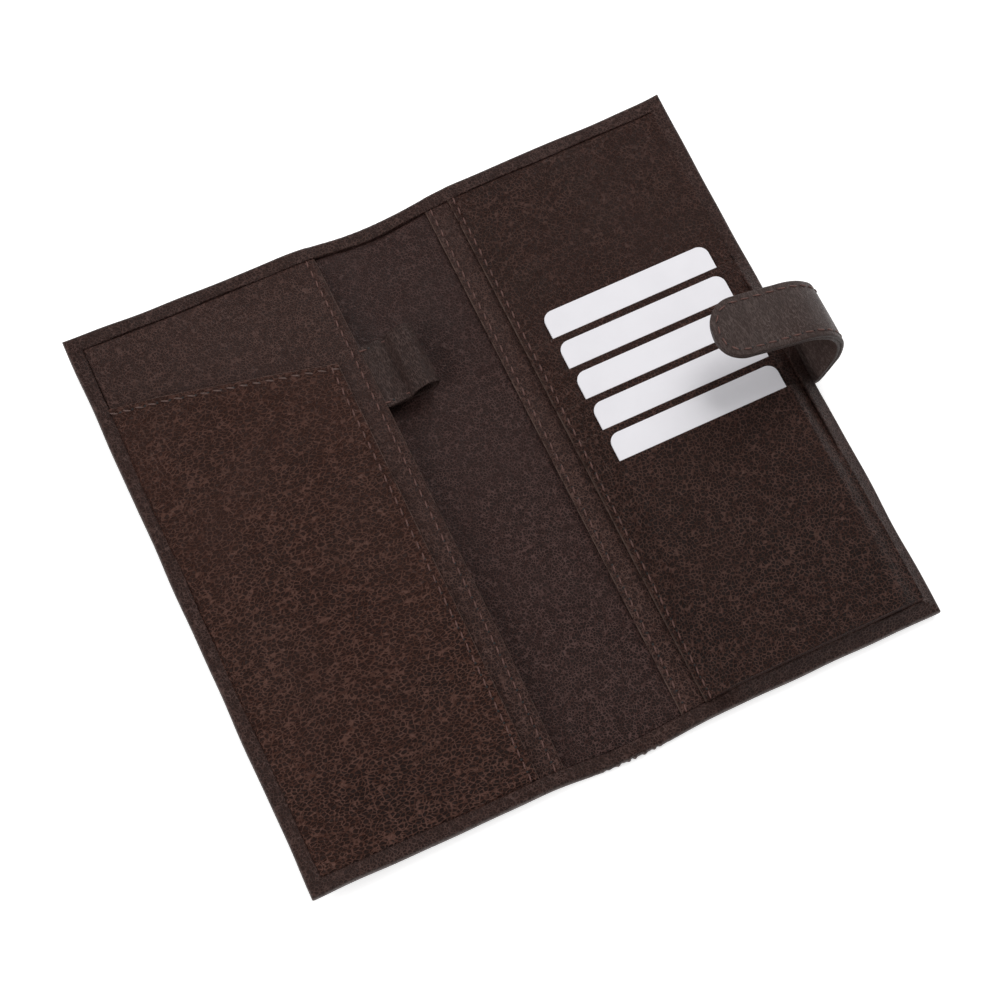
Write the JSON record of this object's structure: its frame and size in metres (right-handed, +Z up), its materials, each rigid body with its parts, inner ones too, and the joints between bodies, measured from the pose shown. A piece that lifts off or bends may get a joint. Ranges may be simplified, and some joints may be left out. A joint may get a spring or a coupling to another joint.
{
  "type": "passport holder",
  "caption": "Bifold leather passport holder lying open, with slip pockets, a pen loop, stepped card slots holding plain cards, and a closing strap that folds back.",
  "frame": {"origin": "middle of the spine on the outer face of the cover, where the open holder rests on the table", "axes": "+X towards the card half, along the open width; +Y towards the top edge; +Z up out of the inside face"},
  "size_m": [0.2048, 0.1814, 0.0284],
  "materials": {
    "cover_leather": "satin dark brown leather, fine grain",
    "grained_leather": "satin dark brown leather, pebbled grain",
    "lining_leather": "smooth dark brown leather",
    "strap_leather": "semi-gloss brown leather, fine creases",
    "board": "matte bonded board",
    "magnet_steel": "plain plated steel",
    "card": "satin white plastic card"
  },
  "bodies": {
    "left_half": {"cover_left": "cover_leather", "board_left": "board", "keeper_plate": "magnet_steel", "lining_left": "lining_leather", "hem_left_side": "cover_leather", "hem_left_top": "cover_leather", "hem_left_bottom": "cover_leather", "pocket_seam_top": "cover_leather", "pocket_seam_bottom": "cover_leather", "pocket_seam_side": "cover_leather", "pocket_panel": "grained_leather", "front_pocket": "grained_leather", "pen_loop": "cover_leather"},
    "spine": {"cover_spine": "cover_leather", "stay_spine": "board", "lining_spine": "lining_leather", "hem_spine_top": "cover_leather", "hem_spine_bottom": "cover_leather"},
    "right_half": {"cover_right": "cover_leather", "board_right": "board", "lining_right": "lining_leather", "hem_right_side": "cover_leather", "hem_right_top": "cover_leather", "hem_right_bottom": "cover_leather", "slip_panel_first": "grained_leather", "slip_panel_second": "grained_leather", "slot_seam_left": "lining_leather", "slot_seam_right": "lining_leather", "slot_sheet_1": "lining_leather", "slot_sheet_2": "lining_leather", "slot_sheet_3": "lining_leather", "slot_sheet_4": "lining_leather", "card_panel": "grained_leather"},
    "strap_root": {"strap_root_face": "strap_leather", "strap_root_lining": "lining_leather"},
    "strap_tip": {"strap_tip_face": "strap_leather", "strap_tip_lining": "lining_leather", "strap_magnet": "magnet_steel"},
    "card_1": {"card_1": "card"},
    "card_2": {"card_2": "card"},
    "card_3": {"card_3": "card"},
    "card_4": {"card_4": "card"},
    "card_5": {"card_5": "card"}
  },
  "joints": [
    {"name": "spine_fold", "type": "hinge", "parent": "left_half", "child": "spine", "pos_m": [-0.0095, 0, 0.0026], "axis": [0, -1, 0], "range_deg": [0, 90], "deforming": ["pen_loop"]},
    {"name": "cover_fold", "type": "hinge", "parent": "spine", "child": "right_half", "pos_m": [0.0095, 0, 0.0026], "axis": [0, -1, 0], "range_deg": [0, 90]},
    {"name": "strap_lift", "type": "hinge", "parent": "right_half", "child": "strap_root", "pos_m": [0.0992, 0, 0.002], "axis": [0, 1, 0], "range_deg": [0, 90]},
    {"name": "strap_unbend", "type": "hinge", "parent": "strap_root", "child": "strap_tip", "pos_m": [0.1052, 0, 0.01957], "axis": [0, 1, 0], "range_deg": [0, 90]},
    {"name": "card_1_slide", "type": "slide", "parent": "right_half", "child": "card_1", "axis": [0, 1, 0], "range_m": [0, 0.06]},
    {"name": "card_2_slide", "type": "slide", "parent": "right_half", "child": "card_2", "axis": [0, 1, 0], "range_m": [0, 0.06]},
    {"name": "card_3_slide", "type": "slide", "parent": "right_half", "child": "card_3", "axis": [0, 1, 0], "range_m": [0, 0.06]},
    {"name": "card_4_slide", "type": "slide", "parent": "right_half", "child": "card_4", "axis": [0, 1, 0], "range_m": [0, 0.06]},
    {"name": "card_5_slide", "type": "slide", "parent": "right_half", "child": "card_5", "axis": [0, 1, 0], "range_m": [0, 0.06]}
  ],
  "couplings": [
    {"joint": "cover_fold", "follows": "spine_fold", "ratio": 1},
    {"joint": "strap_lift", "follows": "spine_fold", "ratio": 1}
  ]
}
